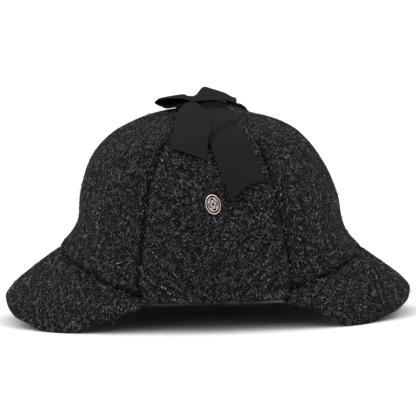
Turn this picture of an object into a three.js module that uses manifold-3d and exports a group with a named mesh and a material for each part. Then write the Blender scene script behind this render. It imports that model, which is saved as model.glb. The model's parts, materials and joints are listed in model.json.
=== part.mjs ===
// A deerstalker hat in herringbone tweed: six sewn crown panels, a peak in front and one behind,
// two ear flaps folded up over the crown, and the ribbon bow that ties them together on top.
//
// Millimetres. +Z is up, the front peak points along -X, and the wearer's left is -Y.
// The hat stands on the four low places of its two peaks, which are pressed flat at z = 0.

import * as THREE from 'three';
import { mergeVertices } from 'three/addons/utils/BufferGeometryUtils.js';
import Module from 'manifold-3d';

const wasm = await Module();
wasm.setup();

// ---------------------------------------------------------------- driving dimensions

// Where the crown's six panels meet: the side seams run under the ear flaps.
const panelSeams = [0, 66, 117, 180, 243, 294, 360].map(THREE.MathUtils.degToRad);
const CROWN_WALL = 2.4;
const PEAK_WALL = 4;
const FLAP_WALL = 3;
const RIBBON_WALL = 1;
const GAP = 0.3;
// The peaks' sloping edges need a little more room to clear the crown along their whole seam.
const PEAK_GAP = 0.39;
// The badge's flat back stands off the curved flap by this much.
const BADGE_SEAT = 0.96;

// The crown's bottom edge is level along each side and climbs towards both peaks.
const LEVEL_SHARE = 0.32;
const CLIMB_POWER = 1.45;
// How much squarer than an ellipse the crown is, seen from above.
const SQUARENESS = 0.03;
// The whole hat leans back by this much for each millimetre above the height of the peaks' tips.
const LEAN_BACK = 0.025;
const LEAN_FROM = 17.25;
// The panels' points stop this far down from the very top, as a share of the whole slope.
const POINT_STOP = 0.012;

// Crown sections from the top down to the bottom edge: how far out and how high the outer face
// lies at the front, at the sides and at the back.
const crownRows = [
  { frontOut: 0, frontUp: 160, sideOut: 0, sideUp: 160, backOut: 0, backUp: 160 },
  { frontOut: 15, frontUp: 159.9, sideOut: 14.5, sideUp: 159.2, backOut: 14, backUp: 158.6 },
  { frontOut: 30, frontUp: 158.6, sideOut: 30, sideUp: 156.2, backOut: 29, backUp: 155.6 },
  { frontOut: 45, frontUp: 155, sideOut: 44, sideUp: 151.2, backOut: 43, backUp: 152.2 },
  { frontOut: 59, frontUp: 149.4, sideOut: 56, sideUp: 144.5, backOut: 57, backUp: 147.2 },
  { frontOut: 71.5, frontUp: 142.6, sideOut: 66, sideUp: 135.8, backOut: 68.5, backUp: 140.4 },
  { frontOut: 82, frontUp: 133.2, sideOut: 74, sideUp: 124, backOut: 78.5, backUp: 129.6 },
  { frontOut: 90, frontUp: 121.6, sideOut: 79.5, sideUp: 110, backOut: 87, backUp: 116.2 },
  { frontOut: 95, frontUp: 107.5, sideOut: 82.5, sideUp: 95, backOut: 93.7, backUp: 103 },
  { frontOut: 97.5, frontUp: 93, sideOut: 84.5, sideUp: 80, backOut: 98.6, backUp: 89.5 },
  { frontOut: 98.4, frontUp: 79.5, sideOut: 85.5, sideUp: 65.5, backOut: 100.8, backUp: 76 },
  { frontOut: 101.2, frontUp: 71.5, sideOut: 86, sideUp: 52, backOut: 103.4, backUp: 67.2 },
  { frontOut: 106.3, frontUp: 64, sideOut: 86.3, sideUp: 39, backOut: 108.6, backUp: 58.8 },
  { frontOut: 112.4, frontUp: 56.7, sideOut: 86.5, sideUp: 26, backOut: 116.5, backUp: 50.8 },
];
const LAST_ROW = crownRows.length - 1;

// Each peak is sewn to the crown from one corner to the other. Its rim is given from the tip to
// the corner of the left half, and the right half mirrors it.
const frontPeak = {
  middle: 0,
  corner: THREE.MathUtils.degToRad(64.0),
  turn: 1,
  rim: [
    { x: -154.3, y: 0, z: 18 },
    { x: -152, y: -20, z: 13 },
    { x: -145.5, y: -36, z: 8.3 },
    { x: -136.5, y: -47.5, z: 5 },
    { x: -126, y: -56.5, z: 0.6 },
    { x: -114, y: -63.5, z: -1.6 },
    { x: -101, y: -69.5, z: 0.2 },
    { x: -88, y: -74, z: 5.6 },
    { x: -75, y: -78, z: 10.5 },
    { x: -61, y: -81.2, z: 15.6 },
    { x: -48, y: -82.6, z: 20.4 },
  ],
};
const backPeak = {
  middle: Math.PI,
  corner: THREE.MathUtils.degToRad(58.2),
  turn: -1,
  rim: [
    { x: 154.3, y: 0, z: 16.5 },
    { x: 151.8, y: -19.5, z: 11.8 },
    { x: 144, y: -35, z: 7.2 },
    { x: 134.5, y: -46, z: 3.9 },
    { x: 124.5, y: -54.5, z: 0.2 },
    { x: 114, y: -61.5, z: -1.6 },
    { x: 104, y: -67, z: 0.4 },
    { x: 94, y: -72, z: 7.2 },
    { x: 84, y: -76.5, z: 13 },
    { x: 72.5, y: -80, z: 18 },
    { x: 60.5, y: -82, z: 21 },
  ],
};
// The rim is sewn thinner than the rest of the peak.
const RIM_SHARE = 0.8;
// Where a peak's two inner handles stand along its slope, and how far they swell off it.
const PEAK_SWELL = [{ along: 0.36, proud: 0.035 }, { along: 0.87, proud: 0.14 }];

// Ear flap: its front and back edges where it crosses the crown's sections, bottom to top.
const flapRows = [
  { row: 13, front: -47.8, back: 60 },
  { row: 12.6, front: -51.2, back: 61.5 },
  { row: 12, front: -51, back: 60.2 },
  { row: 11, front: -49.6, back: 58.2 },
  { row: 10, front: -48.2, back: 55.8 },
  { row: 9, front: -46.6, back: 53 },
  { row: 8, front: -45, back: 50 },
  { row: 7, front: -42.2, back: 46 },
  { row: 6, front: -38, back: 41 },
  { row: 5, front: -33, back: 36 },
  { row: 4, front: -28, back: 32 },
];
// Past section 4 the flap lies on the dome and runs on to its rounded tip.
const tipRows = [
  { toTip: 0.25, front: -25.5, back: 30, lift: 0 },
  { toTip: 0.5, front: -23.5, back: 28.5, lift: 0.2 },
  { toTip: 0.75, front: -22, back: 27.5, lift: 0.6 },
  { toTip: 0.92, front: -20, back: 26, lift: 0.9 },
  { toTip: 1, front: -16, back: 22, lift: 1 },
];
const TIP_FROM_MIDDLE = 5;
const TIP_ROUNDING = 0.009;
// The fold under the crown's edge, level all along: offset out from the crown, and distance
// below the edge's lowest stretch.
const foldOuter = [{ out: 2.9, down: 1.9 }, { out: 1.2, down: 3.1 }, { out: -2.2, down: 3.4 }];
const foldInner = [{ out: 0.5, down: 0.2 }, { out: -0.2, down: 0.4 }, { out: -2.2, down: 0.4 }];

// Ribbon pieces, given by their two selvedges. The bow's tails lie over the left ear flap.
const tailFront = [
  { left: [-15, -11.5, 166], right: [-10, -11.8, 166.6] },
  { left: [-16.8, -15.5, 166], right: [-8.1, -19, 165.5] },
  { left: [-20.4, -24, 163.8], right: [-3.4, -31, 163] },
  { left: [-24.4, -38.6, 158.6], right: [0.5, -43.2, 158.4] },
  { left: [-26.2, -53.4, 151.1], right: [2.5, -56.5, 152.3] },
  { left: [-27, -63.8, 142.9], right: [0.2, -68, 146] },
  { left: [-27.2, -68.8, 138.8], right: [-1.5, -78.5, 130.6] },
];
const tailBack = [
  { left: [-3, -10.5, 166.8], right: [9.5, -10.5, 166.6] },
  { left: [-3, -20.2, 164.7], right: [12.3, -21.5, 163.9] },
  { left: [-3.4, -29.6, 161.4], right: [18.2, -27.5, 160.6] },
  { left: [-3, -42.2, 156.8], right: [20.3, -38.2, 157.3] },
  { left: [-1.5, -54.5, 150.8], right: [21.1, -46.4, 154.1] },
  { left: [1.1, -67.5, 142.1], right: [26.5, -57.7, 147.5] },
  { left: [3.8, -74.8, 135.1], right: [31.9, -65.5, 140.4] },
  { left: [6.5, -79.3, 128.4], right: [35.6, -71.3, 132.3] },
  { left: [11.6, -84.7, 114.9], right: [39.6, -77, 123] },
  { left: [17, -87.6, 100.2], right: [42.6, -81.5, 114.2] },
];
const loopFront = [
  { left: [-10, -5, 167.2], right: [-9.6, 7, 168.2] },
  { left: [-14, -8, 166.9], right: [-15.5, 9, 168.4] },
  { left: [-18.9, -10, 168.7], right: [-18.4, 13, 169.1] },
  { left: [-25.5, -10.5, 169.2], right: [-24.7, 13.5, 168.5] },
  { left: [-32, -10.5, 169], right: [-31.5, 13.5, 167.5] },
  { left: [-37.5, -10.3, 168.1], right: [-36, 13.8, 166.6] },
  { left: [-40.4, -10, 166.6], right: [-37.8, 14, 165.9] },
  { left: [-38.5, -10, 164.6], right: [-36, 14, 165.3] },
  { left: [-35.4, -10, 163.2], right: [-33, 14, 165.2] },
  { left: [-32, -10, 161.8], right: [-30, 14, 165.4] },
  { left: [-25.7, -10, 162.2], right: [-25, 14, 165.9] },
  { left: [-19.8, -9.6, 164], right: [-19.5, 13, 166.4] },
  { left: [-12.5, -6.5, 165.2], right: [-12, 8.5, 166.6] },
  { left: [-9.8, -4.5, 165.8], right: [-9.4, 7, 166.6] },
];
const loopBack = [
  { left: [-9, -6.5, 168.4], right: [-8.7, 5, 169.7] },
  { left: [-3.5, -6, 169.8], right: [-3.6, 13, 174.3] },
  { left: [2, -5, 170], right: [2.9, 14, 172.7] },
  { left: [7, -5, 169.2], right: [8, 14.3, 171] },
  { left: [11.5, -5.2, 167.8], right: [13, 14, 169.2] },
  { left: [16.5, -6, 166.3], right: [17.5, 13.5, 167.2] },
  { left: [21.6, -6, 165], right: [21.5, 13, 165.4] },
  { left: [17, -6, 164.6], right: [17.5, 12.5, 164.6] },
  { left: [9.8, -4.5, 165.6], right: [9.8, 9, 165.8] },
];
const leadLeft = [
  { left: [-10, -17, 164], right: [11, -17, 163.6] },
  { left: [-8, -12, 164.9], right: [9, -12, 164.6] },
  { left: [-6.5, -7.6, 165.7], right: [7.5, -7.6, 165.6] },
];
const TAIL_NOTCH = 4.6;
const TAIL_ARCH = 1.2;
const KNOT = { centre: [0, 0, 167], radii: [8, 7, 1.9] };

const BADGE = { long: 15.5, wide: 11.5, x: 3.4, row: 7.85, lean: THREE.MathUtils.degToRad(16) };
// The badge's relief from the middle to the edge: share of its radius, and height.
const badgeRelief = [
  { out: 0, up: 1.5 },
  { out: 0.3, up: 1.45 },
  { out: 0.66, up: 1.2 },
  { out: 0.74, up: 0.95 },
  { out: 0.8, up: 1.35 },
  { out: 0.9, up: 1.55 },
  { out: 0.98, up: 1.25 },
  { out: 1, up: 0.6 },
  { out: 0.96, up: 0 },
];

// ---------------------------------------------------------------- tables and curves

function between(a, b, c, d, t) {
  const bend = -a + 3 * b - 3 * c + d;
  const slope = 2 * a - 5 * b + 4 * c - d;
  return 0.5 * (((bend * t + slope) * t + (c - a)) * t + 2 * b);
}

// A column of a table read smoothly at a place between its rows.
function readColumn(rows, place, column) {
  const last = rows.length - 1;
  const i = Math.min(Math.max(Math.floor(place), 0), last - 1);
  const value = (n) => {
    if (n < 0) return 2 * rows[0][column] - rows[1][column];
    if (n > last) return 2 * rows[last][column] - rows[last - 1][column];
    return rows[n][column];
  };
  return between(value(i - 1), value(i), value(i + 1), value(i + 2), place - i);
}

// ---------------------------------------------------------------- the crown's outer face

// angle: 0 at the front, a quarter turn at the left side; row: place in the section table.
function crownPoint(angle, row) {
  const c = Math.cos(angle);
  const s = Math.sin(angle);
  const end = c > 0 ? 'front' : 'back';
  const down = row / LAST_ROW;
  const climb = Math.max(0, (Math.abs(c) - LEVEL_SHARE) / (1 - LEVEL_SHARE)) ** CLIMB_POWER;
  const share = THREE.MathUtils.lerp(c * c, climb, down * down);
  const sideUp = readColumn(crownRows, row, 'sideUp');
  const endUp = readColumn(crownRows, row, `${end}Up`);
  return new THREE.Vector3(
    -readColumn(crownRows, row, `${end}Out`) * c * (1 + SQUARENESS * s * s),
    -readColumn(crownRows, row, 'sideOut') * s * (1 + SQUARENESS * c * c),
    THREE.MathUtils.lerp(sideUp, endUp, share),
  );
}

function crownNormal(angle, row) {
  const step = 0.02;
  const lower = Math.min(row + step, LAST_ROW);
  const upper = Math.max(lower - 2 * step, 0.01);
  const around = crownPoint(angle + step, row).sub(crownPoint(angle - step, row));
  const downward = crownPoint(angle, lower).sub(crownPoint(angle, upper));
  return downward.cross(around).normalize();
}

function offCrown(angle, row, out, below = 0) {
  const point = crownPoint(angle, row).addScaledVector(crownNormal(angle, row), out);
  point.z -= below;
  return point;
}

// The angle at which a section of the left side crosses a given x.
function angleAtX(row, x) {
  let low = 0;
  let high = Math.PI;
  for (let i = 0; i < 40; i += 1) {
    const middle = (low + high) / 2;
    if (crownPoint(middle, row).x < x) low = middle;
    else high = middle;
  }
  return (low + high) / 2;
}

// The angle and row of the point of the dome above a given x and y.
function placeAbove(x, y) {
  let low = 0.05;
  let high = 8;
  let angle = 0;
  for (let i = 0; i < 40; i += 1) {
    const row = (low + high) / 2;
    const end = x < 0 ? 'frontOut' : 'backOut';
    angle = Math.atan2(-y / readColumn(crownRows, row, 'sideOut'), -x / readColumn(crownRows, row, end));
    const reach = crownPoint(angle, row);
    if (Math.hypot(reach.x, reach.y) < Math.hypot(x, y)) low = row;
    else high = row;
  }
  return { angle, row: (low + high) / 2 };
}

// ---------------------------------------------------------------- closed bodies

// A body between two skins of points in rows and columns, closed by walls round the edge.
function closedShell(outer, inner) {
  const rows = outer.length;
  const columns = outer[0].length;
  const points = [...outer.flat(), ...inner.flat()];
  const index = [];
  const at = (skin, r, c) => (skin * rows + r) * columns + c;
  const quad = (a, b, c, d) => index.push(a, b, c, a, c, d);
  for (let r = 0; r < rows - 1; r += 1) {
    for (let c = 0; c < columns - 1; c += 1) {
      quad(at(0, r, c), at(0, r + 1, c), at(0, r + 1, c + 1), at(0, r, c + 1));
      quad(at(1, r, c), at(1, r, c + 1), at(1, r + 1, c + 1), at(1, r + 1, c));
    }
    quad(at(0, r, 0), at(1, r, 0), at(1, r + 1, 0), at(0, r + 1, 0));
    const edge = columns - 1;
    quad(at(0, r, edge), at(0, r + 1, edge), at(1, r + 1, edge), at(1, r, edge));
  }
  for (let c = 0; c < columns - 1; c += 1) {
    quad(at(0, 0, c), at(0, 0, c + 1), at(1, 0, c + 1), at(1, 0, c));
    const edge = rows - 1;
    quad(at(0, edge, c), at(1, edge, c), at(1, edge, c + 1), at(0, edge, c + 1));
  }
  const geometry = new THREE.BufferGeometry();
  geometry.setFromPoints(points);
  geometry.setIndex(index);
  return facingOut(geometry);
}

// Turns every face of a closed body round if they point inwards.
function facingOut(geometry) {
  const at = geometry.getAttribute('position');
  const index = geometry.getIndex();
  const corner = [new THREE.Vector3(), new THREE.Vector3(), new THREE.Vector3()];
  let volume = 0;
  for (let i = 0; i < index.count; i += 3) {
    corner.forEach((point, k) => point.fromBufferAttribute(at, index.getX(i + k)));
    volume += corner[0].dot(corner[1].clone().cross(corner[2]));
  }
  if (volume < 0) index.array.reverse();
  return geometry;
}

function grid(rows, columns, pointAt) {
  const step = (n, count) => n / (count - 1);
  return Array.from({ length: rows }, (_, r) => (
    Array.from({ length: columns }, (__, c) => pointAt(step(r, rows), step(c, columns)))
  ));
}

function toSolid(geometry) {
  const bare = geometry.clone();
  bare.deleteAttribute('normal');
  bare.deleteAttribute('uv');
  const merged = mergeVertices(bare, 1e-4);
  const vertProperties = new Float32Array(merged.getAttribute('position').array);
  const triVerts = new Uint32Array(merged.getIndex().array);
  return new wasm.Manifold(new wasm.Mesh({ numProp: 3, vertProperties, triVerts }));
}

function fromSolid(solid) {
  const mesh = solid.getMesh();
  const geometry = new THREE.BufferGeometry();
  geometry.setAttribute('position', new THREE.BufferAttribute(mesh.vertProperties, 3));
  geometry.setIndex(new THREE.BufferAttribute(mesh.triVerts, 1));
  return geometry;
}

// Cuts away whatever would lie below the surface that the hat stands on.
function pressedFlat(geometry) {
  const depth = 20;
  const wide = 400;
  const floor = new THREE.BoxGeometry(wide, wide, depth).translate(0, 0, -depth / 2);
  return fromSolid(toSolid(geometry).subtract(toSolid(floor)));
}

// ---------------------------------------------------------------- pieces

function crownPanel(number) {
  const start = panelSeams[number];
  const width = panelSeams[number + 1] - start;
  const place = (down, across) => {
    const row = THREE.MathUtils.lerp(POINT_STOP * LAST_ROW, LAST_ROW, down);
    const middle = crownPoint(start + width / 2, row);
    const trim = GAP / 2 / Math.hypot(middle.x, middle.y);
    return [start + trim + across * (width - 2 * trim), row];
  };
  const outer = grid(15, 9, (down, across) => crownPoint(...place(down, across)));
  const inner = grid(15, 9, (down, across) => offCrown(...place(down, across), -CROWN_WALL));
  // Close to the top the inner face would pinch, so its point keeps to its own wedge.
  inner[0].forEach((point, c) => point.set(outer[0][c].x, outer[0][c].y, outer[0][c].z - CROWN_WALL));
  return closedShell(outer, inner);
}

function peakCurve(peak, across) {
  const halfRows = peak.rim.length - 1;
  const mirrored = peak.rim.slice(1).reverse().map((p) => ({ x: p.x, y: -p.y, z: p.z }));
  const rim = [...mirrored, ...peak.rim];
  const place = (across + 1) * halfRows;
  const tip = new THREE.Vector3(...['x', 'y', 'z'].map((column) => readColumn(rim, place, column)));
  const seam = crownPoint(peak.middle + peak.turn * across * peak.corner, LAST_ROW);
  const slope = tip.clone().sub(seam);
  const level = new THREE.Vector3(slope.x, slope.y, 0).normalize();
  const proud = new THREE.Vector3(-level.x * slope.z, -level.y * slope.z, slope.dot(level));
  const handles = PEAK_SWELL.map((handle) => (
    seam.clone().addScaledVector(slope, handle.along).addScaledVector(proud, handle.proud)
  ));
  seam.addScaledVector(slope, PEAK_GAP / slope.length());
  return new THREE.CubicBezierCurve3(seam, ...handles, tip);
}

function peakPiece(peak) {
  const top = (across, out) => peakCurve(peak, across).getPoint(out);
  const under = (across, out) => {
    const step = 0.01;
    const near = Math.min(out, 1 - step);
    const side = Math.min(Math.max(across, step - 1), 1 - step);
    const outward = top(across, near + step).sub(top(across, near));
    const sideways = top(side + step, out).sub(top(side - step, out));
    const upward = outward.cross(sideways).setLength(peak.turn);
    const wall = out > 0.97 ? PEAK_WALL * RIM_SHARE : PEAK_WALL;
    return top(across, out).addScaledVector(upward, -wall);
  };
  const rows = 7;
  const columns = 33;
  return pressedFlat(closedShell(
    grid(rows, columns, (out, across) => top(2 * across - 1, out)),
    grid(rows, columns, (out, across) => under(2 * across - 1, out)),
  ));
}

function earFlap(side) {
  const low = GAP + 0.1;
  const high = low + FLAP_WALL;
  const columns = 17;
  const last = flapRows.length - 1;
  const top = flapRows[last];
  const acrossX = (row, across) => THREE.MathUtils.lerp(row.front, row.back, across);
  const skin = (offset, fold) => {
    const rows = [];
    const underEdge = flapRows[0];
    [...fold].reverse().forEach(({ out, down }) => {
      rows.push(grid(1, columns, (_, across) => {
        const angle = angleAtX(LAST_ROW, acrossX(underEdge, across));
        const climbed = crownPoint(angle, LAST_ROW).z - crownRows[LAST_ROW].sideUp;
        return offCrown(angle, LAST_ROW, out, down + climbed);
      })[0]);
    });
    flapRows.forEach((flapRow) => {
      rows.push(grid(1, columns, (_, across) => (
        offCrown(angleAtX(flapRow.row, acrossX(flapRow, across)), flapRow.row, offset)
      ))[0]);
    });
    tipRows.forEach((tipRow) => {
      rows.push(grid(1, columns, (_, across) => {
        const x = acrossX(tipRow, across);
        const from = crownPoint(angleAtX(top.row, acrossX(top, across)), top.row).y;
        const to = -TIP_FROM_MIDDLE - TIP_ROUNDING * (x - 3) ** 2;
        const { angle, row } = placeAbove(x, THREE.MathUtils.lerp(from, to, tipRow.toTip));
        return offCrown(angle, row, offset + tipRow.lift);
      })[0]);
    });
    if (side > 0) rows.flat().forEach((point) => point.setY(-point.y));
    return rows;
  };
  return closedShell(skin(high, foldOuter), skin(low, foldInner));
}

// A strip of ribbon between two selvedges. It may arch up between them, and notch cuts a
// swallowtail into its far end.
function ribbon(rows, steps, { arch = 0, notch = 0 } = {}) {
  const edges = rows.map(({ left, right }) => ({
    lx: left[0], ly: left[1], lz: left[2], rx: right[0], ry: right[1], rz: right[2],
  }));
  const place = (along, across) => {
    const at = along * (edges.length - 1);
    const read = (columns) => new THREE.Vector3(...columns.map((name) => readColumn(edges, at, name)));
    return read(['lx', 'ly', 'lz']).lerp(read(['rx', 'ry', 'rz']), across);
  };
  const middle = (along, across) => {
    const cut = notch * (1 - Math.abs(2 * across - 1)) * along ** 6;
    const point = place(along, across);
    const back = place(Math.min(along, 0.99) - 0.01, across).sub(point).normalize();
    return point.addScaledVector(back, cut);
  };
  const side = (along, across, sign) => {
    const a = Math.min(along, 0.99);
    const run = place(a + 0.01, across).sub(place(a, across));
    const width = place(along, 1).sub(place(along, 0));
    const rise = arch * Math.min(1, 4 * along) * (1 - (2 * across - 1) ** 2);
    const normal = run.cross(width).normalize();
    return middle(along, across).addScaledVector(normal, rise + (sign * RIBBON_WALL) / 2);
  };
  return closedShell(
    grid(steps, 5, (along, across) => side(along, across, 1)),
    grid(steps, 5, (along, across) => side(along, across, -1)),
  );
}

function badgePlate() {
  const last = badgeRelief[badgeRelief.length - 1];
  const profile = [...badgeRelief, { out: 0, up: last.up }].reverse();
  const outline = profile.map(({ out, up }) => new THREE.Vector2(out, up));
  const plate = new THREE.LatheGeometry(outline, 32).rotateX(Math.PI / 2);
  plate.scale(BADGE.wide / 2, BADGE.long / 2, 1);
  plate.deleteAttribute('normal');
  plate.deleteAttribute('uv');
  return facingOut(mergeVertices(plate, 1e-4));
}

function knotLump() {
  const lump = new THREE.SphereGeometry(1, 20, 12).scale(...KNOT.radii).translate(...KNOT.centre);
  lump.deleteAttribute('normal');
  lump.deleteAttribute('uv');
  return facingOut(mergeVertices(lump, 1e-4));
}

// ---------------------------------------------------------------- the hat

const tweed = { color: 0x2b2c2e, roughness: 0.95, metalness: 0 };
const grosgrain = { color: 0x1f1f20, roughness: 0.7, metalness: 0 };
const silver = { color: 0xb9b7b1, roughness: 0.35, metalness: 1 };

const hat = new THREE.Group();
hat.matrixAutoUpdate = false;
hat.matrix.makeShear(0, 0, 0, 0, LEAN_BACK, 0).setPosition(-LEAN_BACK * LEAN_FROM, 0, 0);

function addPiece(name, geometry, finish) {
  const mesh = new THREE.Mesh(geometry, new THREE.MeshStandardMaterial(finish));
  mesh.name = name;
  hat.add(mesh);
  return mesh;
}

const panelNames = ['front_left', 'side_left', 'back_left', 'back_right', 'side_right', 'front_right'];
panelNames.forEach((place, number) => {
  addPiece(`crown_panel_${place}`, crownPanel(number), tweed);
});
addPiece('front_peak', peakPiece(frontPeak), tweed);
addPiece('back_peak', peakPiece(backPeak), tweed);
addPiece('ear_flap_left', earFlap(-1), tweed);
addPiece('ear_flap_right', earFlap(1), tweed);

const leadRight = leadLeft.map(({ left, right }) => ({
  left: [left[0], -left[1], left[2]],
  right: [right[0], -right[1], right[2]],
}));
addPiece('ribbon_lead_left', ribbon(leadLeft, 6), grosgrain);
addPiece('ribbon_lead_right', ribbon(leadRight, 6), grosgrain);
addPiece('bow_knot', knotLump(), grosgrain);
addPiece('bow_loop_front', ribbon(loopFront, 29), grosgrain);
addPiece('bow_loop_back', ribbon(loopBack, 25), grosgrain);
addPiece('bow_tail_front', ribbon(tailFront, 22, { arch: TAIL_ARCH / 2 }), grosgrain);
addPiece('bow_tail_back', ribbon(tailBack, 25, { arch: TAIL_ARCH, notch: TAIL_NOTCH }), grosgrain);

const badge = addPiece('badge', badgePlate(), silver);
const badgeAngle = angleAtX(BADGE.row, BADGE.x);
const badgeNormal = crownNormal(badgeAngle, BADGE.row);
const badgeUp = new THREE.Vector3(-Math.tan(BADGE.lean), 0, 1).projectOnPlane(badgeNormal).normalize();
const badgeRight = badgeUp.clone().cross(badgeNormal);
badge.quaternion.setFromRotationMatrix(new THREE.Matrix4().makeBasis(badgeRight, badgeUp, badgeNormal));
badge.position.copy(offCrown(badgeAngle, BADGE.row, FLAP_WALL + BADGE_SEAT));

export default hat;
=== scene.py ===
"""A deerstalker hat in herringbone tweed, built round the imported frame.

Tables and working sizes are in millimetres; meshes are made in metres. +Z is up, the front peak
points along -X and the wearer's left is -Y.
"""

import json
import math
from functools import cache, partial

import bpy
import numpy as np
from mathutils import Matrix, Vector

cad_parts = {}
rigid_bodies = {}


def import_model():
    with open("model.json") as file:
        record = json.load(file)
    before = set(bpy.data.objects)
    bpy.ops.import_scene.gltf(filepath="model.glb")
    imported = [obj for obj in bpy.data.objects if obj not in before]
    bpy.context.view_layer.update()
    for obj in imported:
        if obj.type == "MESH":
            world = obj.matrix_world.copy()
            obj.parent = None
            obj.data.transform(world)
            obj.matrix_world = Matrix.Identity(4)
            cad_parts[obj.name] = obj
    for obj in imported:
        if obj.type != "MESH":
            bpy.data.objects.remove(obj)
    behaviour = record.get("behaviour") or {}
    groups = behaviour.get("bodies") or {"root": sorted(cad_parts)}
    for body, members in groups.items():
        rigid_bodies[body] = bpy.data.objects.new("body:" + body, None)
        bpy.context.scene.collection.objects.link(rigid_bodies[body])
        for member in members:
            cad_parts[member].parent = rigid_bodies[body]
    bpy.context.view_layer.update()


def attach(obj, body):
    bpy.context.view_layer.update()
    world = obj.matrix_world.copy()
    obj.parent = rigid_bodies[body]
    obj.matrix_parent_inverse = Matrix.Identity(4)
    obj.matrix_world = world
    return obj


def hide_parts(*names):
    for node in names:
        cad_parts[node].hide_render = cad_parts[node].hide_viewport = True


bl_info = {
    "name": "Deerstalker Hat",
    "version": (1, 0, 0),
    "blender": (4, 5, 0),
    "location": "3D Viewport > Sidebar > Hat",
    "description": "Builds a tweed deerstalker hat with folded ear flaps and a ribbon bow",
    "category": "Add Mesh",
}

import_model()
MM = 0.001

# ------------------------------------------------------------------ tables

# The crown's panels, from the front round by the left side, and the angles of their seams.
PANELS = ("front_left", "side_left", "back_left", "back_right", "side_right", "front_right")
SEAMS = np.radians([0, 66, 117, 180, 243, 294, 360])
CROWN_WALL = 2.4
PEAK_WALL = 4
FLAP_WALL = 3
# The crown's edge keeps the sides' height over this share of the way to an end, then climbs.
LEVEL_SHARE = 0.32
CLIMB_POWER = 1.45
SQUARENESS = 0.03
# A panel starts this share of the way down, and its edges run this far past their seams.
POINT_STOP = 0.012
SEAM_OVERLAP = 0.05
# The whole hat leans back by this much for each millimetre above the height of the peaks' tips.
LEAN_BACK = 0.025
LEAN_FROM = 17.25

# Crown sections from the top down: how far out and how high the outer face lies at the front,
# at the sides and at the back.
CROWN_ROWS = [
    (0, 160, 0, 160, 0, 160),
    (15, 159.9, 14.5, 159.2, 14, 158.6),
    (30, 158.6, 30, 156.2, 29, 155.6),
    (45, 155, 44, 151.2, 43, 152.2),
    (59, 149.4, 56, 144.5, 57, 147.2),
    (71.5, 142.6, 66, 135.8, 68.5, 140.4),
    (82, 133.2, 74, 124, 78.5, 129.6),
    (90, 121.6, 79.5, 110, 87, 116.2),
    (95, 107.5, 82.5, 95, 93.7, 103),
    (97.5, 93, 84.5, 80, 98.6, 89.5),
    (98.4, 79.5, 85.5, 65.5, 100.8, 76),
    (101.2, 71.5, 86, 52, 103.4, 67.2),
    (106.3, 64, 86.3, 39, 108.6, 58.8),
    (112.4, 56.7, 86.5, 26, 116.5, 50.8),
]
LAST_ROW = len(CROWN_ROWS) - 1

# The rim of each peak, from its tip to its left corner.
FRONT_RIM = [
    (-154.3, 0, 18),
    (-152, -20, 13),
    (-145.5, -36, 8.3),
    (-136.5, -47.5, 5),
    (-126, -56.5, 0.6),
    (-114, -63.5, -1.6),
    (-101, -69.5, 0.2),
    (-88, -74, 5.6),
    (-75, -78, 10.5),
    (-61, -81.2, 15.6),
    (-48, -82.6, 20.4),
]
BACK_RIM = [
    (154.3, 0, 16.5),
    (151.8, -19.5, 11.8),
    (144, -35, 7.2),
    (134.5, -46, 3.9),
    (124.5, -54.5, 0.2),
    (114, -61.5, -1.6),
    (104, -67, 0.4),
    (94, -72, 7.2),
    (84, -76.5, 13),
    (72.5, -80, 18),
    (60.5, -82, 21),
]
# name: middle angle, corner angle, way round, rim
PEAKS = {
    "front_peak": (0, math.radians(64.0), 1, FRONT_RIM),
    "back_peak": (math.pi, math.radians(58.2), -1, BACK_RIM),
}
# Gap at a peak's seam, and the seam allowance inside the crown: its height, its gap and its wall.
PEAK_GAP = 0.1
ALLOWANCE = 2.5
ALLOWANCE_GAP = 0.5
ALLOWANCE_WALL = 1.6
# A peak's corners run on behind the flaps: how far along, how far in and how far up.
TUCKS = ((0.7, 1.6, 0.3), (2.6, 3.6, 0.9), (7.0, 4.6, 2.4))
# Height over which a rim that nears the ground is pressed flat.
RIM_PRESS = 1.1
# Where a peak's two inner handles stand along its slope, and how far they swell off it.
PEAK_SWELL = ((0.36, 0.035), (0.87, 0.14))

# Ear flap: crown section, front edge x and back edge x, bottom to top.
FLAP_ROWS = [
    (13, -47.8, 60),
    (12.6, -51.2, 61.5),
    (12, -51, 60.2),
    (11, -49.6, 58.2),
    (10, -48.2, 55.8),
    (9, -46.6, 53),
    (8, -45, 50),
    (7, -42.2, 46),
    (6, -38, 41),
    (5, -33, 36),
    (4, -28, 32),
]
# Share of the way to the flap's tip, front edge x, back edge x and lift off the crown.
TIP_ROWS = [
    (0, -28, 32, 0),
    (0.25, -25.5, 30, 0),
    (0.5, -23.5, 28.5, 0.2),
    (0.75, -22, 27.5, 0.6),
    (0.92, -20, 26, 0.9),
    (1, -16, 22, 1),
]
# How far the tip stops from the hat's middle line, and how its end is rounded.
TIP_FROM_MIDDLE = 5
TIP_ROUNDING = 0.009
TIP_MIDDLE_X = 3
FLAP_GAP = 0.4
# Share of the flap's width where a column of the weave starts.
FLAP_WEAVE_MIDDLE = 0.46
# Where the crown is shaded beside a flap's edge, and over what reach.
FLAP_SHADE_AWAY = 1.4
FLAP_SHADE_REACH = 2.6
# The fold under the crown's edge, level all along: offset out from the crown, and distance below
# the edge's lowest stretch.
FOLD_OUTER = [(-2.2, 3.4), (1.2, 3.1), (2.9, 1.9)]
FOLD_INNER = [(-2.2, 0.4), (-0.2, 0.4), (0.5, 0.2)]

# What an edge draws up or down in the cloth beside it: height, distance from the edge, reach.
HEM_RELIEF = ((-0.6, 0, 1.6), (0.25, 6, 4))
PEAK_SEAM_RELIEF = ((-0.7, 0, 1.6),)
PEAK_RIM_RELIEF = ((-0.5, 0, 1.5), (0.25, 4.5, 2.5))
FLAP_EDGE_RELIEF = ((-0.9, 0, 1.6), (0.6, 5, 3.5))
# The seams' relief fades where a panel is narrower than this.
NARROW_PANEL = 30
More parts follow.
